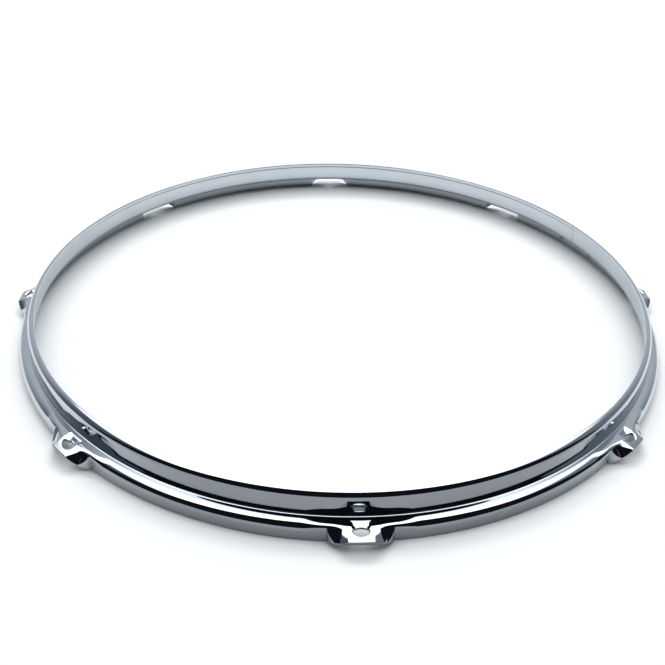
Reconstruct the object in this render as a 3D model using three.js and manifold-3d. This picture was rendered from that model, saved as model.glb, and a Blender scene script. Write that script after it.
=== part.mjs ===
// A pressed steel drum hoop for a 14 inch drum with eight tension rods.
// Lengths are in millimetres, angles in degrees, +Z is up, and the hoop stands on its lower edge.
// One ear is at -Y and the others follow every eighth of a turn.
import * as THREE from 'three';
import { mergeVertices } from 'three/addons/utils/BufferGeometryUtils.js';
import Module from 'manifold-3d';

// The strip and its three bends.
const sheetThickness = 2.3;
const hoopHeight = 21.8;
const lipInnerRadius = 178.4; // the opening over the playing surface
const lipOuterBend = 3.7; // outside radius where the top edge turns inward
const wallLean = 4; // the collar wall leans inward as it rises
const shoulderHeight = 9.4; // top of the shoulder that presses on the head
const footInnerBend = 0.9; // inside radius between collar wall and shoulder
const shoulderWidth = 5.98; // from the foot of the collar wall to the outside of the skirt
const skirtInnerBend = 1.9; // inside radius between shoulder and skirt

// The ears: the shoulder runs out into a drooping tab there, and the skirt closes in beside the
// tab as a cheek on each side. Widths are measured from the ear's middle line.
const earCount = 8;
const rodSetOut = 1.8; // rod centre outside the skirt, which puts the rods on a 381 mm circle
const rodHoleHalfWidth = 3.85; // round the hoop, where the lugs' places vary
const rodHoleHalfDepth = 3.15; // across the strip
const tabMargin = 2.1; // metal left between the rod hole and the tab's front edge
const tabHalfWidth = 5.85;
const tabDrop = 1.8; // the tab's front edge below the shoulder
const dipHalfWidth = 2; // the middle of the tab slopes all the way from the collar wall
const dipFade = 4.2; // beside it the shoulder comes back to its level within this width
const dipShare = 0.95; // of the straight slope from the collar wall to the tab's front edge
const earHalfWidth = 14.8; // the crease where the cheek meets the plain skirt
const cornerReach = 0.6; // the bent corner moves outward by this much towards the tab
const cheekBulge = 0.7; // the cheek's free edge bows outward
const cheekInnerBend = 0.4;
const tabInnerBend = 5;
const bendFade = 9.7; // past the crease the tight bend opens out over this width

// The butt weld that closes the ring, midway between two ears.
const weldEarShare = 0.5;
const weldWidth = 2.4;
const fitGap = 0.3;

// How finely the curves are divided.
const bendSteps = 4;
const footSteps = 2;
const lipInnerSteps = 2;
const undersideSteps = 3;
const tabSteps = 2;
const cheekSteps = 4;
const fadeSteps = 2;
const spanSteps = 8;
const holeSides = 20;
const weldSteps = 2;
const cutOverrun = 2;

const rightAngle = 90;
const radians = THREE.MathUtils.degToRad;

// Sizes that follow from the ones above.
const lipBendHeight = hoopHeight - lipOuterBend;
const leanTangent = Math.tan(radians(wallLean));
const wallFootRadius = lipInnerRadius + lipOuterBend / Math.cos(radians(wallLean))
  + (lipBendHeight - shoulderHeight) * leanTangent;
const wallFoot = [wallFootRadius, shoulderHeight];
const skirtOuterRadius = wallFootRadius + shoulderWidth;
const rodCircleRadius = skirtOuterRadius + rodSetOut;
const tabFrontRadius = rodCircleRadius + rodHoleHalfDepth + tabMargin;
const tabSlope = tabDrop / (tabFrontRadius - wallFootRadius);

// Points on an arc in the radius and height plane, both ends included.
function arcPoints(centre, radius, startAngle, endAngle, steps) {
  const points = [];
  for (let i = 0; i <= steps; i += 1) {
    const angle = radians(THREE.MathUtils.lerp(startAngle, endAngle, i / steps));
    points.push([centre[0] + radius * Math.cos(angle), centre[1] + radius * Math.sin(angle)]);
  }
  return points;
}

// The strip's shape at a distance from the nearest ear's middle line: the corner where the top
// bends down, the free edge, both on the outer face, and the bend's inside radius.
function flangeShape(distance) {
  const { clamp, lerp, smoothstep } = THREE.MathUtils;
  const nearness = clamp(1 - distance / earHalfWidth, 0, 1);
  const cheek = clamp((distance - tabHalfWidth) / (earHalfWidth - tabHalfWidth), 0, 1);
  const fade = clamp((distance - earHalfWidth) / bendFade, 0, 1);
  const cornerRadius = skirtOuterRadius + cornerReach * nearness;
  const level = smoothstep(distance, dipHalfWidth, dipHalfWidth + dipFade);
  const dip = dipShare * tabSlope * (cornerRadius - wallFootRadius) * (1 - level);
  const edgeRadius = lerp(tabFrontRadius, skirtOuterRadius, cheek) + cheekBulge * Math.sin(Math.PI * cheek);
  const edgeHeight = (shoulderHeight - tabDrop) * (1 - cheek);
  const openBend = lerp(cheekInnerBend, skirtInnerBend, fade * fade);
  return {
    corner: [cornerRadius, shoulderHeight - dip],
    edge: [edgeRadius, edgeHeight],
    innerBend: openBend + (tabInnerBend - cheekInnerBend) * nearness * nearness,
  };
}

// Slope of a line below the horizontal, in degrees.
function slopeBetween(start, end) {
  return THREE.MathUtils.radToDeg(Math.atan2(start[1] - end[1], end[0] - start[0]));
}

// Centre of a bend that touches both outer faces at a corner. It lies below a bend that turns
// down and above one that turns up, so distance is negative for the foot of the wall.
function bendCentre(corner, slopeBefore, slopeAfter, distance) {
  const middle = radians((slopeBefore + slopeAfter) / 2);
  const reach = distance / Math.cos(radians((slopeAfter - slopeBefore) / 2));
  return [corner[0] - reach * Math.sin(middle), corner[1] - reach * Math.cos(middle)];
}

// The strip's closed outline, as [radius, height], at a distance from an ear's middle line.
function stripOutline(distance) {
  const { corner, edge, innerBend } = flangeShape(distance);
  const topSlope = slopeBetween(wallFoot, corner);
  const flangeSlope = slopeBetween(corner, edge);
  const outerBend = innerBend + sheetThickness;
  const flangeCentre = bendCentre(corner, topSlope, flangeSlope, outerBend);
  const wallSlope = rightAngle - wallLean;
  const footCentre = bendCentre(wallFoot, wallSlope, topSlope, -footInnerBend);
  const footStart = 2 * rightAngle + wallLean;
  const footEnd = 3 * rightAngle - topSlope;
  const lipCentre = [lipInnerRadius, lipBendHeight];
  const innerEdge = [
    edge[0] - sheetThickness * Math.sin(radians(flangeSlope)),
    edge[1] - sheetThickness * Math.cos(radians(flangeSlope)),
  ];
  const topAngle = rightAngle - topSlope;
  const flangeAngle = rightAngle - flangeSlope;
  return [
    edge,
    ...arcPoints(flangeCentre, outerBend, flangeAngle, topAngle, bendSteps),
    ...arcPoints(footCentre, footInnerBend, footEnd, footStart, footSteps),
    ...arcPoints(lipCentre, lipOuterBend, wallLean, rightAngle, bendSteps),
    ...arcPoints(lipCentre, lipOuterBend - sheetThickness, rightAngle, wallLean, lipInnerSteps),
    ...arcPoints(footCentre, footInnerBend + sheetThickness, footStart, footEnd, undersideSteps),
    ...arcPoints(flangeCentre, innerBend, topAngle, flangeAngle, bendSteps),
    innerEdge,
  ];
}

// Sweeps outlines round the hoop's axis. Each station has an azimuth and an outline, and both
// ends are closed with a flat face.
function sweepAroundAxis(stations) {
  const positions = [];
  const indices = [];
  const count = stations[0].outline.length;
  for (const { azimuth, outline } of stations) {
    for (const [radius, height] of outline) {
      positions.push(radius * Math.cos(azimuth), radius * Math.sin(azimuth), height);
    }
  }
  for (let i = 0; i + 1 < stations.length; i += 1) {
    for (let j = 0; j < count; j += 1) {
      const here = i * count + j;
      const beside = i * count + (j + 1) % count;
      indices.push(here, here + count, beside, beside, here + count, beside + count);
    }
  }
  const capTriangles = (outline) => THREE.ShapeUtils.triangulateShape(
    outline.map(([radius, height]) => new THREE.Vector2(radius, height)), []);
  const last = (stations.length - 1) * count;
  for (const [a, b, c] of capTriangles(stations[0].outline)) {
    indices.push(a, b, c);
  }
  for (const [a, b, c] of capTriangles(stations[stations.length - 1].outline)) {
    indices.push(last + a, last + c, last + b);
  }
  const geometry = new THREE.BufferGeometry();
  geometry.setAttribute('position', new THREE.Float32BufferAttribute(positions, 3));
  geometry.setIndex(indices);
  return geometry;
}

// Distances from an ear's middle line at which the strip gets an outline, nearest first.
function earDistances() {
  const dipSpan = tabHalfWidth - dipHalfWidth;
  const tab = Array.from({ length: tabSteps }, (_, i) => dipHalfWidth + dipSpan * i / tabSteps);
  const cheekSpan = earHalfWidth - tabHalfWidth;
  const cheek = Array.from({ length: cheekSteps }, (_, i) => tabHalfWidth + cheekSpan * i / cheekSteps);
  const fade = Array.from({ length: fadeSteps + 1 }, (_, i) => earHalfWidth + bendFade * i / fadeSteps);
  return [...tab, ...cheek, ...fade];
}

// Stations across one ear, from plain strip on one side to plain strip on the other.
function earStations(centreAzimuth) {
  const distances = earDistances();
  const sides = [...distances.map((distance) => -distance).reverse(), 0, ...distances];
  return sides.map((side) => ({
    azimuth: centreAzimuth + side / rodCircleRadius,
    outline: stripOutline(Math.abs(side)),
  }));
}

// Stations of plain strip between two azimuths, numbered from first to last.
function spanStations(startAzimuth, endAzimuth, steps, first, last) {
  const stations = [];
  for (let i = first; i <= last; i += 1) {
    const azimuth = THREE.MathUtils.lerp(startAzimuth, endAzimuth, i / steps);
    stations.push({ azimuth, outline: stripOutline(earHalfWidth + bendFade) });
  }
  return stations;
}

const earPitch = 2 * Math.PI / earCount;
const earHalfAngle = (earHalfWidth + bendFade) / rodCircleRadius;
const weldAzimuth = earPitch * weldEarShare;
const weldHalfAngle = weldWidth / 2 / skirtOuterRadius;
const stripEndAngle = (weldWidth / 2 + fitGap) / lipInnerRadius;

// The whole strip runs once round from one side of the weld to the other.
function stripStations() {
  const halfSteps = spanSteps / 2;
  const start = weldAzimuth + stripEndAngle;
  const end = weldAzimuth + 2 * Math.PI - stripEndAngle;
  const stations = spanStations(start, earPitch - earHalfAngle, halfSteps, 0, halfSteps - 1);
  for (let ear = 1; ear <= earCount; ear += 1) {
    const azimuth = ear * earPitch;
    stations.push(...earStations(azimuth));
    if (ear < earCount) {
      const nextStart = azimuth + earPitch - earHalfAngle;
      stations.push(...spanStations(azimuth + earHalfAngle, nextStart, spanSteps, 1, spanSteps - 1));
    }
  }
  stations.push(...spanStations(2 * Math.PI + earHalfAngle, end, halfSteps, 1, halfSteps));
  return stations;
}

const manifold = await Module();
manifold.setup();

// A closed three.js geometry as a solid that can be cut.
function solidFrom(geometry) {
  const bare = geometry.clone();
  bare.deleteAttribute('normal');
  bare.deleteAttribute('uv');
  const merged = mergeVertices(bare);
  const mesh = new manifold.Mesh({
    numProp: 3,
    vertProperties: new Float32Array(merged.attributes.position.array),
    triVerts: new Uint32Array(merged.index.array),
  });
  return new manifold.Manifold(mesh);
}

// A cut solid as a three.js geometry with flat faces.
function geometryFrom(solid) {
  const { vertProperties, triVerts } = solid.getMesh();
  const geometry = new THREE.BufferGeometry();
  geometry.setAttribute('position', new THREE.BufferAttribute(vertProperties, 3));
  geometry.setIndex(new THREE.BufferAttribute(triVerts, 1));
  geometry.computeVertexNormals();
  return geometry;
}

// The punch for one oval rod hole, standing upright through the tab.
function rodHoleCutter(azimuth) {
  const height = hoopHeight + 2 * cutOverrun;
  const cutter = new THREE.CylinderGeometry(rodHoleHalfWidth, rodHoleHalfWidth, height, holeSides);
  cutter.rotateX(Math.PI / 2);
  cutter.scale(rodHoleHalfDepth / rodHoleHalfWidth, 1, 1);
  cutter.translate(rodCircleRadius, 0, hoopHeight / 2);
  cutter.rotateZ(azimuth);
  return solidFrom(cutter);
}

function hoopStripGeometry() {
  let strip = solidFrom(sweepAroundAxis(stripStations()));
  for (let ear = 0; ear < earCount; ear += 1) {
    strip = strip.subtract(rodHoleCutter(ear * earPitch));
  }
  return geometryFrom(strip);
}

function buttWeldGeometry() {
  const start = weldAzimuth - weldHalfAngle;
  const end = weldAzimuth + weldHalfAngle;
  const geometry = sweepAroundAxis(spanStations(start, end, weldSteps, 0, weldSteps));
  geometry.computeVertexNormals();
  return geometry;
}

const chromePlate = new THREE.MeshStandardMaterial({ color: 0xc6ced5, metalness: 1, roughness: 0.06 });
const weldPlate = new THREE.MeshStandardMaterial({ color: 0xb9bfc4, metalness: 1, roughness: 0.16 });

function namedMesh(name, geometry, material) {
  const mesh = new THREE.Mesh(geometry, material);
  mesh.name = name;
  return mesh;
}

const drumHoop = new THREE.Group();
drumHoop.add(namedMesh('hoop_strip', hoopStripGeometry(), chromePlate));
drumHoop.add(namedMesh('butt_weld', buttWeldGeometry(), weldPlate));

export default drumHoop;
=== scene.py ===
import math

import bmesh
import bpy
import numpy as np
from mathutils import Matrix


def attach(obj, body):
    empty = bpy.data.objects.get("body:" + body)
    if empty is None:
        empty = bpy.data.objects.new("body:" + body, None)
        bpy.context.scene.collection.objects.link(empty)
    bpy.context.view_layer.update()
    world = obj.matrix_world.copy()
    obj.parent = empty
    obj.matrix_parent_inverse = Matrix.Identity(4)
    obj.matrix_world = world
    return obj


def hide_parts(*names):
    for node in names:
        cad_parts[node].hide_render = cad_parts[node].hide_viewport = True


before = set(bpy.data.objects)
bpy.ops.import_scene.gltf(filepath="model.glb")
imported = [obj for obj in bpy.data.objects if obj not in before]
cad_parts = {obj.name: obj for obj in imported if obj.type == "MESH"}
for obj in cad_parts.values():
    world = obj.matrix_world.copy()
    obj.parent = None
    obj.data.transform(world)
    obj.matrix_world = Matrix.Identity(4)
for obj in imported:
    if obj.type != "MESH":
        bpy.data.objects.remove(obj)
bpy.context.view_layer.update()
print("frame loaded")

scene = bpy.context.scene
mm = 0.001  # the hoop, its ears and its weld are worked out in millimetres, all the rest is in metres

# The pressed strip away from its ears
hoop = {
    "sheet": 2.3,
    "height": 21.8,
    "lipInnerRadius": 178.4,
    "lipBend": 3.7,
    "wallLean": 4.0,          # degrees, inward as the wall rises
    "shoulderHeight": 9.4,
    "footBend": 0.5,          # where the wall meets the shoulder
    "shoulderWidth": 5.98,    # from the foot of the wall to the outside of the skirt
    "skirtBend": 4.2,         # outside of the bend between shoulder and skirt
    "leastInnerBend": 0.6,
    "edgeRound": 0.35,        # tumbled edges
}

# One ear, measured from its middle line
ear = {
    "count": 8,
    "rodSetOut": 1.5,         # rod hole's centre outside the skirt
    "holeHalfWidth": 3.35,    # round the hoop
    "holeHalfDepth": 1.9,     # across the strip
    "holeRound": 0.9,         # the punch rolls the rim over
    "holeBreakOut": 0.6,      # and breaks out wider underneath
    "tabReach": 5.2,          # from the hole's centre to the tab's front edge
    "tabHalfWidth": 5.3,
    "tabDrop": 2.0,           # the tab's front edge below the shoulder
    "halfWidth": 14.6,        # crease between cheek and plain skirt
    "tightBend": 1.9,
    "bendFade": 9.9,          # past the crease the bend opens out again over this length
    "bendFadePower": 2,       # slowly at first
    "cornerSet": 0.05,        # the bend's corner outside the skirt at the tab
    "cornerShift": 1.05,      # and how far it moves inward along the cheek
    "cheekSlope": 48.0,       # degrees, the upper part of the cheek
    "cheekBulge": 2.2,        # the free edge bows outward along the cheek
    "cheekRise": 0.8,         # and rises from the crease to the tab by this power
    "bendRun": 1.8,           # length over which each bend of the ear is rounded
    "innerBendRun": 1.2,
    "neckStart": 185.0,       # a pressed neck leads down from here to the hole
    "neckEnd": 188.1,
    "neckFade": 192.4,
    "neckEase": 0.25,         # share of the neck's run in which it starts to go down
    "neckDepth": 1.25,
    "neckHalfWidth": 1.9,
    "neckFlank": 2.6,
    "stepDepth": 0.13,        # shallow step at the neck's root
    "stepRise": 0.6,
    "stepRun": 0.8,           # it is deepest up to here, and fades by the neck's end
    "stepHalfWidth": 4.6,
    "stepFlank": 0.6,
}

# How finely the strip is divided: lengths in millimetres, and counts and shares
fineness = {
    "spanStep": 2.4,          # between sections along the plain skirt
    "holeSpan": 4.9,          # the hole's patch reaches this far each side
    "holeReach": 4.0,         # and this far in and out from its centre
    "tabSections": 15,
    "cheekStep": 0.35,        # between sections along the cheek
    "cheekEnd": 15.6,
    "fadeStep": 0.8,          # and where the bend opens out again
    "placeDigits": 4,         # ears share a section where their distances agree to so many digits
    "averageStep": 0.04,      # between the points that a bend is averaged from
    "flangePoints": 44,
    "footSteps": 6,
    "wallShares": (0.03, 0.1, 0.5, 0.9, 0.97),
    "lipSteps": 14,
    "bendSteps": 24,
    "roundSteps": 3,
    "rimSteps": 6,
    "rimShares": (0.2, 0.4, 0.6, 0.8, 1.0),
    "sharpAngle": 35,         # degrees
}


def lerp(first, last, share):
    return first + (last - first) * share


def smooth(value, low, high):
    share = np.clip((value - low) / (high - low), 0.0, 1.0)
    return share * share * (3 - 2 * share)


lean = math.radians(hoop["wallLean"])
lipCentre = np.array([hoop["lipInnerRadius"], hoop["height"] - hoop["lipBend"]])
wallRise = lipCentre[1] - hoop["shoulderHeight"]
wallFoot = np.array([
    lipCentre[0] + hoop["lipBend"] / math.cos(lean) + wallRise * math.tan(lean),
    hoop["shoulderHeight"],
])
skirtRadius = wallFoot[0] + hoop["shoulderWidth"]
rodCircle = skirtRadius + ear["rodSetOut"]
tabFront = rodCircle + ear["tabReach"]
earReach = ear["halfWidth"] + ear["bendFade"]
earPitch = 360 / ear["count"]
mmPerDegree = math.radians(rodCircle)  # round the rod circle


def skirtBendAt(side):
    # outer radius of the plain skirt's bend, tighter towards the ear
    fade = np.clip((side - ear["halfWidth"]) / ear["bendFade"], 0.0, 1.0)
    return lerp(ear["tightBend"], hoop["skirtBend"], fade ** ear["bendFadePower"])


def earCorners(side):
    # corners of the ear's outer face after the wall's foot: the bend, the cheek's knee, the free edge
    share = np.clip((side - ear["tabHalfWidth"]) / (ear["halfWidth"] - ear["tabHalfWidth"]), 0.0, 1.0)
    corner = np.array([
        skirtRadius + ear["cornerSet"] - ear["cornerShift"] * smooth(share, 0, 1),
        hoop["shoulderHeight"],
    ])
    edge = np.array([
        lerp(tabFront, skirtRadius, share) + 2 * ear["cheekBulge"] * share * math.sqrt(1 - share),
        (hoop["shoulderHeight"] - ear["tabDrop"]) * (1 - share) ** ear["cheekRise"],
    ])
    kneeDrop = (edge[0] - corner[0]) * math.tan(math.radians(ear["cheekSlope"]))
    knee = np.array([edge[0], corner[1] - kneeDrop])
    return [corner, knee, edge] if knee[1] > edge[1] + hoop["edgeRound"] else [corner, edge]


def neckDrop(radius, side):
    # how far the neck is pressed down below the plain shoulder
    start, end, ease = ear["neckStart"], ear["neckEnd"], ear["neckEase"]
    run = np.clip((radius - start) / (end - start), 0.0, 1.0)
    ramp = np.where(run < ease, run * run / (2 * ease), run - ease / 2) / (1 - ease / 2)
    ramp = ramp * (1 - smooth(radius, end, ear["neckFade"]))
    narrow = 1 - smooth(side, ear["neckHalfWidth"], ear["neckHalfWidth"] + ear["neckFlank"])
    step = smooth(radius, start, start + ear["stepRise"]) * (1 - smooth(radius, start + ear["stepRun"], end))
    wide = 1 - smooth(side, ear["stepHalfWidth"] - ear["stepFlank"], ear["stepHalfWidth"] + ear["stepFlank"])
    return ear["neckDepth"] * ramp * narrow + ear["stepDepth"] * step * wide * (1 - narrow)


def arcPoints(centre, radius, start, end, steps):
    angles = np.radians(np.linspace(start, end, steps + 1))
    return np.stack([centre[0] + radius * np.cos(angles), centre[1] + radius * np.sin(angles)], -1)


def unit(vector):
    return vector / np.linalg.norm(vector)


def rightOf(direction):
    return np.array([direction[1], -direction[0]])


def crossed(first, second):
    return first[0] * second[1] - first[1] * second[0]


def movedCorner(corner, into, out, depth):
    # the corner between two runs that both move to their right by this depth
    return corner + (rightOf(into) + rightOf(out)) * depth / (1 + into @ out)


def bendPoints(first, corner, last, depth, radius, steps):
    # rounds the corner of a path that runs at this depth on the right of the outer face
    into, out = unit(corner - first), unit(last - corner)
    turn = math.atan2(crossed(into, out), into @ out)
    start = movedCorner(corner, into, out, depth) - into * radius * math.tan(abs(turn) / 2)
    spoke = rightOf(into) * radius * math.copysign(1, turn)
    across = np.array([-spoke[1], spoke[0]])
    angles = np.linspace(0, turn, steps + 1)
    return start - spoke + np.outer(np.cos(angles), spoke) + np.outer(np.sin(angles), across)


def deepened(corners, depth):
    # a path of straight runs moved to its right by this depth
    ways = [unit(b - a) for a, b in zip(corners, corners[1:])]
    moved = [corners[0] + rightOf(ways[0]) * depth]
    moved += [movedCorner(p, a, b, depth) for p, a, b in zip(corners[1:], ways, ways[1:])]
    moved.append(corners[-1] + rightOf(ways[-1]) * depth)
    if len(ways) == 3 and (moved[2] - moved[1]) @ ways[1] < 0:
        # the middle run has shrunk to nothing, so the other two meet
        reach = crossed(moved[3] - moved[0], ways[2]) / crossed(ways[0], ways[2])
        moved[1:3] = [moved[0] + ways[0] * reach]
    return moved


def pathLengths(path):
    return np.concatenate([[0], np.cumsum(np.linalg.norm(np.diff(path, axis=0), axis=1))])


def pathAt(path, marks):
    lengths = pathLengths(path)
    return np.stack([np.interp(marks, lengths, path[:, k]) for k in range(2)], -1)


def softened(corners, run):
    # rounds every bend of a path of straight runs by a moving average over this length
    step = fineness["averageStep"]
    first, last = unit(corners[1] - corners[0]), unit(corners[-1] - corners[-2])
    path = np.array([corners[0] - first * run, *corners[1:-1], corners[-1] + last * run])
    dense = pathAt(path, np.arange(0, pathLengths(path)[-1], step))
    width = round(run / step)
    kernel = np.ones(width) / width
    rounded = np.stack([np.convolve(dense[:, k], kernel, "valid") for k in range(2)], -1)
    inside = ((rounded - corners[0]) @ first > 0) & ((corners[-1] - rounded) @ last > 0)
    return np.vstack([corners[:1], rounded[inside], corners[-1:]])


def evenly(path, count, endCut):
    # the same path in even steps, stopping short of its end by endCut
    return pathAt(path, np.linspace(0, pathLengths(path)[-1] - endCut, count))


def facePath(side, depth):
    # one face of the sheet from lip to free edge; depth is 0 outside and the sheet's thickness inside
    trim = hoop["edgeRound"]
    lipRadius = hoop["lipBend"] - depth
    lipStart = 90 - math.degrees(trim / lipRadius)
    lip = arcPoints(lipCentre, lipRadius, lipStart, hoop["wallLean"], fineness["lipSteps"])
    wallTop = lipCentre + hoop["lipBend"] * np.array([math.cos(lean), math.sin(lean)])
    inEar = side < ear["halfWidth"]
    plain = [np.array([skirtRadius, hoop["shoulderHeight"]]), np.array([skirtRadius, 0.0])]
    corners = earCorners(side) if inEar else plain
    foot = bendPoints(wallTop, wallFoot, corners[0], depth, hoop["footBend"] + depth, fineness["footSteps"])
    out = unit(corners[-1] - corners[-2])
    if inEar:
        moved = deepened([wallFoot, *corners], depth)
        flange = softened([foot[-1], *moved[1:]], ear["innerBendRun" if depth else "bendRun"])
    else:
        bend = skirtBendAt(side)
        if depth:
            bend = max(bend - depth, hoop["leastInnerBend"])
        turn = bendPoints(wallFoot, *corners, depth, bend, fineness["bendSteps"])
        flange = np.vstack([foot[-1:], turn, [corners[-1] + rightOf(out) * depth]])
    wall = np.array([lerp(lip[-1], foot[0], share) for share in fineness["wallShares"]])
    run = evenly(flange, fineness["flangePoints"] + 1, trim)[1:]
    run[:, 1] -= neckDrop(run[:, 0], side)
    return np.concatenate([lip, wall, foot, run]), flange[-1], out


def roundedEdge(first, last, outward):
    # the sheet's edge from its sharp corner first to last, both tumbled round
    across = unit(last - first)
    radius = hoop["edgeRound"]
    angles = np.linspace(0, math.pi / 2, fineness["roundSteps"] + 1)
    firstCentre = first + (across - outward) * radius
    lastCentre = last - (across + outward) * radius
    quarters = [firstCentre + radius * (math.cos(a) * -across + math.sin(a) * outward) for a in angles]
    quarters += [lastCentre + radius * (math.cos(a) * outward + math.sin(a) * across) for a in angles]
    return np.array(quarters[1:-1])


def outline(side):
    # the strip's closed section: outer face, free edge, inner face, lip edge
    outer, outerEnd, out = facePath(side, 0)
    inner, innerEnd, _ = facePath(side, hoop["sheet"])
    lipTop = np.array([hoop["lipInnerRadius"], hoop["height"]])
    lipEdge = roundedEdge(lipTop - np.array([0, hoop["sheet"]]), lipTop, np.array([-1.0, 0.0]))
    return np.concatenate([outer, roundedEdge(outerEnd, innerEnd, out), inner[::-1], lipEdge])


def sweepPoints(azimuth, section):
    angle = math.radians(azimuth)
    return np.stack([section[:, 0] * math.cos(angle), section[:, 0] * math.sin(angle), section[:, 1]], -1)


def gridFaces(rows, size):
    return [(i * size + j, i * size + (j + 1) % size, (i + 1) * size + (j + 1) % size, (i + 1) * size + j)
            for i in range(rows - 1) for j in range(size)]


def endFaces(rows, size):
    last = (rows - 1) * size
    return [tuple(range(size - 1, -1, -1)), tuple(last + j for j in range(size))]


def addObject(name, data):
    made = bpy.data.objects.new(name, data)
    scene.collection.objects.link(made)
    return made


def addPiece(name, points, faces, slot, node):
    mesh = bpy.data.meshes.new(name)
    mesh.from_pydata([tuple(p) for p in np.array(points) * mm], [], faces)
    cleaner = bmesh.new()
    cleaner.from_mesh(mesh)
    bmesh.ops.delete(cleaner, geom=[v for v in cleaner.verts if not v.link_faces], context="VERTS")
    bmesh.ops.recalc_face_normals(cleaner, faces=cleaner.faces)
    openEdges = sum(len(e.link_faces) != 2 for e in cleaner.edges)
    cleaner.to_mesh(mesh)
    cleaner.free()
    mesh.shade_smooth()
    mesh.set_sharp_from_angle(angle=math.radians(fineness["sharpAngle"]))
    piece = addObject(name, mesh)
    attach(piece, "root")
    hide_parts(node)
    print(name, "made with", len(mesh.polygons), "faces and", openEdges, "open edges")
    return piece


# The butt weld that closes the ring
weldSeam = {
    "width": 2.4,
    "azimuth": earPitch / 2,
    "sections": 7,
}
halfWeld = weldSeam["width"] / 2 / mmPerDegree  # degrees


def stripPlaces():
    # azimuth and distance from the nearest ear's middle of every section, and where each tab starts
    span, near, far = fineness["holeSpan"], fineness["cheekStep"], fineness["fadeStep"]
    flank = np.concatenate([
        np.arange(span + near, fineness["cheekEnd"], near),
        np.arange(fineness["cheekEnd"] + near, earReach + far, far),
    ])
    tab = np.linspace(-span, span, fineness["tabSections"])
    sides = np.concatenate([-flank[::-1], tab, flank])
    halfEar = flank[-1] / mmPerDegree

    def plainSpan(start, end):
        steps = round((end - start) * mmPerDegree / fineness["spanStep"])
        return [(lerp(start, end, k / steps), earReach) for k in range(steps)]

    places, tabStarts = [], []
    start = weldSeam["azimuth"] + halfWeld
    for index in range(1, ear["count"] + 1):
        middle = index * earPitch
        places += plainSpan(start, middle - halfEar)
        tabStarts.append(len(places) + len(flank))
        places += [(middle + side / mmPerDegree, abs(side)) for side in sides[:-1]]
        start = middle + halfEar
    end = 360 + weldSeam["azimuth"] - halfWeld
    places += plainSpan(start, end) + [(end, earReach)]
    return places, tabStarts


def heightFinder(rows, radial, tangent):
    # height of one face of the tab at a radius and a distance beside the middle line
    lines = []
    for row in rows:
        order = np.argsort(row @ radial)
        lines.append(((row @ radial)[order], (row @ tangent)[order], row[order, 2]))

    def heightAt(radius, beside):
        across = [np.interp(radius, radii, sides) for radii, sides, _ in lines]
        heights = [np.interp(radius, radii, levels) for radii, _, levels in lines]
        return np.interp(beside, across, heights)
    return heightAt


def addRim(points, faces, loop, heightAt, radial, tangent, upward):
    # carries a face of the tab from the loop of its own points to the hole, and rolls it over the rim
    roll = ear["holeRound"]
    wider = 0 if upward > 0 else ear["holeBreakOut"]
    halfDepth, halfWidth = ear["holeHalfDepth"] + wider, ear["holeHalfWidth"] + wider / 2
    radii = np.array([points[k] @ radial for k in loop])
    sides = np.array([points[k] @ tangent for k in loop])
    angles = np.arctan2(sides / halfWidth, (radii - rodCircle) / halfDepth)
    rows = [list(loop)]

    def ovalAt(grown):
        # the hole's oval grown by this much, as radii and distances beside the middle line
        return rodCircle + (halfDepth + grown) * np.cos(angles), (halfWidth + grown) * np.sin(angles)

    def addRow(rowRadii, rowSides, heights):
        rows.append(list(range(len(points), len(points) + len(loop))))
        for radius, side, height in zip(rowRadii, rowSides, heights):
            points.append(radial * radius + tangent * side + np.array([0, 0, height]))

    ovalRadii, ovalSides = ovalAt(roll)
    for share in fineness["rimShares"]:
        rowRadii, rowSides = lerp(radii, ovalRadii, share), lerp(sides, ovalSides, share)
        rimHeights = np.array([heightAt(radius, side) for radius, side in zip(rowRadii, rowSides)])
        addRow(rowRadii, rowSides, rimHeights)
    for step in range(1, fineness["rimSteps"] + 1):
        turn = math.pi / 2 * step / fineness["rimSteps"]
        drop = roll * (1 - math.cos(turn)) * upward
        addRow(*ovalAt(roll * (1 - math.sin(turn))), rimHeights - drop)
    for first, second in zip(rows, rows[1:]):
        faces += [(first[k - 1], first[k], second[k], second[k - 1]) for k in range(len(loop))]
    return [rows[-1][k] for k in np.argsort(angles)]


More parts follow.
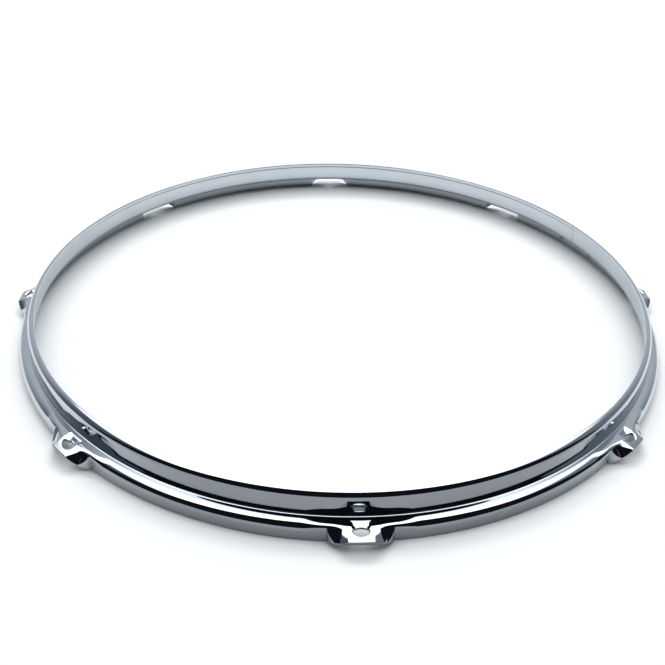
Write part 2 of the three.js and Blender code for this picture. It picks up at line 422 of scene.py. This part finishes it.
def makeStrip():
    places, tabStarts = stripPlaces()
    distances = [round(float(side), fineness["placeDigits"]) for _, side in places]
    sections = {distance: outline(distance) for distance in set(distances)}
    rings = np.array([sweepPoints(azimuth, sections[d]) for (azimuth, _), d in zip(places, distances)])
    count, size = rings.shape[:2]
    points = list(rings.reshape(-1, 3))
    # the flange's points on the upper and on the lower face of every ring
    faceEnd = (fineness["lipSteps"] + 1 + len(fineness["wallShares"]) + fineness["footSteps"] + 1
               + fineness["flangePoints"])
    upper = np.arange(faceEnd - fineness["flangePoints"], faceEnd)
    lowerStart = faceEnd + 2 * fineness["roundSteps"]
    lower = lowerStart + faceEnd - 1 - upper
    inReach = np.abs(sections[min(sections)][upper, 0] - rodCircle) < fineness["holeReach"]
    faces, dropped = [], set()
    for index, start in enumerate(tabStarts, 1):
        stations = range(start, start + fineness["tabSections"])
        angle = math.radians(index * earPitch)
        radial = np.array([math.cos(angle), math.sin(angle), 0])
        tangent = np.array([-math.sin(angle), math.cos(angle), 0])
        rims = []
        for upward, rows in ((1, upper), (-1, lower)):
            first, last = min(rows[inReach]), max(rows[inReach])
            loop = [i * size + first for i in stations[:-1]]
            loop += [stations[-1] * size + j for j in range(first, last)]
            loop += [i * size + last for i in stations[:0:-1]]
            loop += [stations[0] * size + j for j in range(last, first, -1)]
            dropped |= {(i, j) for i in stations[:-1] for j in range(first, last)}
            heightAt = heightFinder([rings[i][rows] for i in stations], radial, tangent)
            rims.append(addRim(points, faces, loop, heightAt, radial, tangent, upward))
        top, bottom = rims
        faces += [(top[k - 1], top[k], bottom[k], bottom[k - 1]) for k in range(len(top))]
    grid = gridFaces(count, size)
    faces += [quad for k, quad in enumerate(grid) if (k // size, k % size) not in dropped]
    return points, faces + endFaces(count, size)


def makeWeld():
    section = outline(earReach)
    middle = weldSeam["azimuth"]
    azimuths = np.linspace(middle - halfWeld, middle + halfWeld, weldSeam["sections"])
    points = np.concatenate([sweepPoints(azimuth, section) for azimuth in azimuths])
    return points, gridFaces(len(azimuths), len(section)) + endFaces(len(azimuths), len(section))


strip = addPiece("pressedHoop", *makeStrip(), "chrome_plate", "hoop_strip")
weld = addPiece("weldSeam", *makeWeld(), "weld_plate", "butt_weld")


def addNode(tree, kind, inputs=None, **settings):
    made = tree.nodes.new(kind)
    for name, value in settings.items():
        setattr(made, name, value)
    for key, value in (inputs or {}).items():
        if isinstance(value, bpy.types.NodeSocket):
            tree.links.new(value, made.inputs[key])
        else:
            made.inputs[key].default_value = value
    return made


def maths(tree, operation, *values):
    return addNode(tree, "ShaderNodeMath", dict(enumerate(values)), operation=operation).outputs[0]


def remap(tree, value, fromMin, fromMax, toMin=0.0, toMax=1.0):
    inputs = {"Value": value, "From Min": fromMin, "From Max": fromMax, "To Min": toMin, "To Max": toMax}
    return addNode(tree, "ShaderNodeMapRange", inputs, interpolation_type="SMOOTHSTEP").outputs[0]


def fadeOut(tree, value, fromMin, fromMax):
    return maths(tree, "SUBTRACT", 1.0, remap(tree, value, fromMin, fromMax))


def noise(tree, place, scale, detail):
    return addNode(tree, "ShaderNodeTexNoise", {"Vector": place, "Scale": scale, "Detail": detail}).outputs[0]


def mixColours(tree, share, first, second):
    return addNode(tree, "ShaderNodeMix", {0: share, 6: first, 7: second}, data_type="RGBA").outputs[2]


def newGroup(name, inputs, outputs):
    tree = bpy.data.node_groups.new(name, "ShaderNodeTree")
    for way, sockets in (("INPUT", inputs), ("OUTPUT", outputs)):
        for label, kind in sockets.items():
            tree.interface.new_socket(name=label, in_out=way, socket_type=kind)
    return tree, tree.nodes.new("NodeGroupInput").outputs, tree.nodes.new("NodeGroupOutput").inputs


def placeGroup(tree, group, **inputs):
    return addNode(tree, "ShaderNodeGroup", inputs, node_tree=group).outputs


# What the shared effects are like in every plate; a pair is the low and the high end of a range
effects = {
    "lineDetail": 2.0,
    "lineHaze": (0.5, 0.75),
    "mottleDetail": 3.0,
    "mottleTone": (0.35, 0.65),
    "mottleHaze": (0.5, 0.8),
    "peelDetail": 1.0,
    "wobbleNoise": (0.3, 0.7),
    "speckWobbleScale": 900.0,
    "speckWobbleDetail": 2.0,
    "speckWobble": (0.6, 1.5),     # how unevenly a speck and its smudge spread
    "speckFade": (0.6, 1.1),       # shares of the speck's radius
    "stainFade": (0.1, 1.0),       # shares of the smudge's radius
    "edgeWobbleScale": 260.0,
    "edgeWobbleDetail": 3.0,
    "edgeWobble": (0.3, 1.4),
    "edgeFade": (0.5, 1.0),        # shares of the dull edge's height
}


def makePolishGroup():
    # fine lines that run round the hoop, left by the polishing wheel under the plate
    tree, given, result = newGroup(
        "polishLines",
        {"Place": "NodeSocketVector", "Fineness": "NodeSocketFloat", "Run": "NodeSocketFloat"},
        {"Height": "NodeSocketFloat", "Haze": "NodeSocketFloat"})
    part = addNode(tree, "ShaderNodeSeparateXYZ", {0: given["Place"]}).outputs
    squares = [maths(tree, "MULTIPLY", part[k], part[k]) for k in range(2)]
    radius = maths(tree, "SQRT", maths(tree, "ADD", *squares))
    along = addNode(tree, "ShaderNodeCombineXYZ", {
        0: maths(tree, "MULTIPLY", part[0], given["Run"]),
        1: maths(tree, "MULTIPLY", part[1], given["Run"]),
        2: maths(tree, "MULTIPLY", radius, given["Fineness"]),
    }).outputs[0]
    lines = addNode(tree, "ShaderNodeTexNoise", {
        "Vector": along, "W": maths(tree, "MULTIPLY", part[2], given["Fineness"]),
        "Scale": 1.0, "Detail": effects["lineDetail"]}, noise_dimensions="4D").outputs[0]
    tree.links.new(lines, result["Height"])
    tree.links.new(remap(tree, lines, *effects["lineHaze"]), result["Haze"])
    return tree


def makeMottleGroup():
    # slow change of tone and a faint orange peel in the plate
    tree, given, result = newGroup(
        "plateMottle",
        {"Place": "NodeSocketVector", "Bright": "NodeSocketColor", "Cool": "NodeSocketColor",
         "Spread": "NodeSocketFloat", "Peel": "NodeSocketFloat"},
        {"Colour": "NodeSocketColor", "Height": "NodeSocketFloat", "Haze": "NodeSocketFloat"})
    slow = noise(tree, given["Place"], given["Spread"], effects["mottleDetail"])
    tone = remap(tree, slow, *effects["mottleTone"])
    tree.links.new(mixColours(tree, tone, given["Bright"], given["Cool"]), result["Colour"])
    tree.links.new(noise(tree, given["Place"], given["Peel"], effects["peelDetail"]), result["Height"])
    tree.links.new(remap(tree, slow, *effects["mottleHaze"]), result["Haze"])
    return tree


def makeSpeckGroup():
    # one small dark speck in the plate with a tan smudge round it
    tree, given, result = newGroup(
        "plateSpeck",
        {"Place": "NodeSocketVector", "Centre": "NodeSocketVector", "Radius": "NodeSocketFloat",
         "Smudge": "NodeSocketFloat"},
        {"Speck": "NodeSocketFloat", "Stain": "NodeSocketFloat"})
    wobble = noise(tree, given["Place"], effects["speckWobbleScale"], effects["speckWobbleDetail"])
    apart = {0: given["Place"], 1: given["Centre"]}
    distance = addNode(tree, "ShaderNodeVectorMath", apart, operation="DISTANCE").outputs["Value"]
    uneven = remap(tree, wobble, *effects["wobbleNoise"], *effects["speckWobble"])
    grown = maths(tree, "MULTIPLY", distance, uneven)
    speck = fadeOut(tree, maths(tree, "DIVIDE", grown, given["Radius"]), *effects["speckFade"])
    stain = fadeOut(tree, maths(tree, "DIVIDE", grown, given["Smudge"]), *effects["stainFade"])
    tree.links.new(speck, result["Speck"])
    tree.links.new(stain, result["Stain"])
    return tree


def makeEdgeGroup():
    # the tumbled lower edge is a little duller than the faces
    tree, given, result = newGroup(
        "edgeDulling", {"Place": "NodeSocketVector", "Reach": "NodeSocketFloat"}, {"Dull": "NodeSocketFloat"})
    height = addNode(tree, "ShaderNodeSeparateXYZ", {0: given["Place"]}).outputs[2]
    wobble = noise(tree, given["Place"], effects["edgeWobbleScale"], effects["edgeWobbleDetail"])
    uneven = remap(tree, wobble, *effects["wobbleNoise"], *effects["edgeWobble"])
    reach = maths(tree, "MULTIPLY", given["Reach"], uneven)
    tree.links.new(fadeOut(tree, maths(tree, "DIVIDE", height, reach), *effects["edgeFade"]), result["Dull"])
    return tree


# Chrome plate over polished steel
chromePlate = {
    "bright": (0.545, 0.585, 0.625, 1),
    "cool": (0.525, 0.57, 0.615, 1),
    "mottleScale": 45.0,
    "peelScale": 420.0,
    "lineFineness": 2600.0,        # across the lines
    "lineRun": 25.0,               # along them
    "edgeReach": 0.0008,
    "roughness": 0.03,
    "hazeRoughness": 0.02,
    "dullRoughness": 0.12,
    "peelStrength": 0.02,
    "lineStrength": 0.015,
    "bumpDistance": 0.00002,
}

# The same plate over the dressed weld
weldPlate = {
    **chromePlate,
    "bright": (0.50, 0.535, 0.57, 1),
    "cool": (0.46, 0.50, 0.54, 1),
    "roughness": 0.09,
    "hazeRoughness": 0.08,
    "dullRoughness": 0.15,
    "peelStrength": 0.08,
    "lineStrength": 0.06,
    "bumpDistance": 0.00004,
}

# Specks seen in the plate on the inside of the skirt near the weld
specks = {
    "centres": ((0.16551, 0.08573, 0.0037), (0.17706, 0.05824, 0.00383)),
    "radius": 0.0007,
    "smudge": 0.0036,
    "dark": (0.02, 0.018, 0.016, 1),
    "tan": (0.42, 0.30, 0.18, 1),
    "stainShare": 0.85,
}

polishLines = makePolishGroup()
plateMottle = makeMottleGroup()
plateSpeck = makeSpeckGroup()
edgeDulling = makeEdgeGroup()


def newMaterial(name):
    material = bpy.data.materials.new(name)
    material.use_nodes = True
    return material, material.node_tree, material.node_tree.nodes["Principled BSDF"]


def makePlate(name, look):
    material, tree, shader = newMaterial(name)
    shader.inputs["Metallic"].default_value = 1
    place = addNode(tree, "ShaderNodeTexCoord").outputs["Object"]
    mottle = placeGroup(tree, plateMottle, Place=place, Bright=look["bright"], Cool=look["cool"],
                        Spread=look["mottleScale"], Peel=look["peelScale"])
    lines = placeGroup(tree, polishLines, Place=place, Fineness=look["lineFineness"], Run=look["lineRun"])
    dull = placeGroup(tree, edgeDulling, Place=place, Reach=look["edgeReach"])["Dull"]
    colour = mottle["Colour"]
    for centre in specks["centres"]:
        spot = placeGroup(tree, plateSpeck, Place=place, Centre=centre, Radius=specks["radius"],
                          Smudge=specks["smudge"])
        stain = maths(tree, "MULTIPLY", spot["Stain"], specks["stainShare"])
        stained = mixColours(tree, stain, colour, specks["tan"])
        colour = mixColours(tree, spot["Speck"], stained, specks["dark"])
        dull = maths(tree, "MAXIMUM", dull, spot["Speck"])
    haze = maths(tree, "MULTIPLY", maths(tree, "ADD", mottle["Haze"], lines["Haze"]), look["hazeRoughness"])
    polished = maths(tree, "ADD", haze, look["roughness"])
    roughness = maths(tree, "ADD", polished, maths(tree, "MULTIPLY", dull, look["dullRoughness"]))
    peelHeight = maths(tree, "MULTIPLY", mottle["Height"], look["peelStrength"])
    lineHeight = maths(tree, "MULTIPLY", lines["Height"], look["lineStrength"])
    height = maths(tree, "ADD", peelHeight, lineHeight)
    relief = {"Height": height, "Distance": look["bumpDistance"], "Strength": 1.0}
    bump = addNode(tree, "ShaderNodeBump", relief)
    tree.links.new(colour, shader.inputs["Base Color"])
    tree.links.new(roughness, shader.inputs["Roughness"])
    tree.links.new(bump.outputs[0], shader.inputs["Normal"])
    return material


strip.data.materials.append(makePlate("chromePlate", chromePlate))
weld.data.materials.append(makePlate("weldPlate", weldPlate))
print("plating ready")

# Table top, one pale tone to the camera. All other rays see it darker in front of the hoop and paler inside
# it, which sets how bright the hoop's front and back walls look.
# This is painted shade in front of the hoop and painted light inside it, standing for light that falls off
# towards the camera.
table = {
    "halfSize": 6.0,
    "seen": 0.75,                  # to the camera's own rays
    "mirroredShadeFront": 0.345,        # to all other rays; painted shade in front of the hoop
    # painted light inside the hoop, to all other rays
    "mirroredLightBack": 0.78,
    "frontEdge": -0.19,            # painted shade in front turns to painted light inside between these two, along Y
    "backEdge": -0.10,
    "tint": (0.975, 1.0, 1.015),
}


def makeTable():
    half = table["halfSize"]
    corners = [(-half, -half, 0), (half, -half, 0), (half, half, 0), (-half, half, 0)]
    mesh = bpy.data.meshes.new("tableTop")
    mesh.from_pydata(corners, [], [(0, 1, 2, 3)])
    top = addObject("tableTop", mesh)
    material, tree, shader = newMaterial("tableTop")
    shader.inputs["Roughness"].default_value = 1
    shader.inputs["Specular IOR Level"].default_value = 0
    place = addNode(tree, "ShaderNodeTexCoord").outputs["Object"]
    forward = addNode(tree, "ShaderNodeSeparateXYZ", {0: place}).outputs[1]
    # painted shade in front of the hoop fading to painted light inside it, for every ray but the camera's
    mirroredShadeAndLight = remap(tree, forward, table["frontEdge"], table["backEdge"],
                     table["mirroredShadeFront"], table["mirroredLightBack"])
    seenDirect = addNode(tree, "ShaderNodeLightPath").outputs["Is Camera Ray"]
    tones = {0: seenDirect, 2: mirroredShadeAndLight, 3: table["seen"]}
    shade = addNode(tree, "ShaderNodeMix", tones, data_type="FLOAT").outputs[0]
    tinted = {k: maths(tree, "MULTIPLY", shade, share) for k, share in enumerate(table["tint"])}
    tree.links.new(addNode(tree, "ShaderNodeCombineColor", tinted).outputs[0], shader.inputs["Base Color"])
    mesh.materials.append(material)


# Soft light from above, a dark room on the camera's side, dimmer walls at the sides and behind
room = {
    "overhead": 2.6,
    "backlight": 12.0,             # brightest part, high behind the hoop
    "seen": (1, 1, 1, 1),          # to the camera's own rays
    "dark": (0.0085, 0.008, 0.0115, 1),
    "left": (0.10, 0.123, 0.16, 1),
    "right": (0.21, 0.24, 0.28, 1),
    "behind": (0.62, 0.655, 0.69, 1),
    "leftToRight": (-0.3, 0.3),    # parts of a unit direction, between which one wall blends into the next
    "sidesToBehind": (0.1, 0.75),
    "lampEdge": (68.5, 70.5),      # degrees, where the overhead light ends towards the camera
    "backlightEdge": (114.0, 134.0),
    "wallTop": (41.0, 52.0),       # degrees, where walls give way to the light
}


def makeRoom():
    world = bpy.data.worlds.new("softRoom")
    scene.world = world
    world.use_nodes = True
    tree = world.node_tree
    tree.nodes.clear()
    way = addNode(tree, "ShaderNodeTexCoord").outputs["Generated"]
    part = addNode(tree, "ShaderNodeSeparateXYZ", {0: way}).outputs
    toFront = maths(tree, "MULTIPLY", part[1], -1.0)
    tilt = maths(tree, "DEGREES", maths(tree, "ARCTAN2", part[2], toFront))
    lift = maths(tree, "DEGREES", maths(tree, "ARCSINE", part[2]))
    sideWall = mixColours(tree, remap(tree, part[0], *room["leftToRight"]), room["left"], room["right"])
    wall = mixColours(tree, remap(tree, part[1], *room["sidesToBehind"]), sideWall, room["behind"])
    glow = remap(tree, tilt, *room["backlightEdge"], room["overhead"], room["backlight"])
    light = addNode(tree, "ShaderNodeCombineColor", {k: glow for k in range(3)}).outputs[0]
    bright = mixColours(tree, remap(tree, lift, *room["wallTop"]), wall, light)
    colour = mixColours(tree, remap(tree, tilt, *room["lampEdge"]), room["dark"], bright)
    seenDirect = addNode(tree, "ShaderNodeLightPath").outputs["Is Camera Ray"]
    colour = mixColours(tree, seenDirect, colour, room["seen"])
    background = addNode(tree, "ShaderNodeBackground", {"Color": colour, "Strength": 1.0})
    tree.links.new(background.outputs[0], addNode(tree, "ShaderNodeOutputWorld").inputs[0])


makeTable()
makeRoom()

# Where the photograph was taken from
view = {
    "place": (-0.02557, -0.40795, 0.25773),
    "yaw": 0.05696,                # radians, as pitch and roll
    "pitch": 0.595625,
    "roll": 0.027558,
    "lens": 41.601,                # millimetres, as the sensor
    "sensor": 36.0,
    "shift": (-0.00442, -0.00277),
    "nearest": 0.01,
}


def makeCamera():
    data = bpy.data.cameras.new("photoCamera")
    data.sensor_width = view["sensor"]
    data.lens = view["lens"]
    data.shift_x, data.shift_y = view["shift"]
    data.clip_start = view["nearest"]
    camera = addObject("photoCamera", data)
    turn = Matrix.Rotation(-view["yaw"], 4, "Z") @ Matrix.Rotation(math.pi / 2 - view["pitch"], 4, "X")
    camera.matrix_world = Matrix.Translation(view["place"]) @ turn @ Matrix.Rotation(view["roll"], 4, "Z")
    scene.camera = camera


makeCamera()
scene.view_settings.view_transform = "Standard"
print("studio ready")
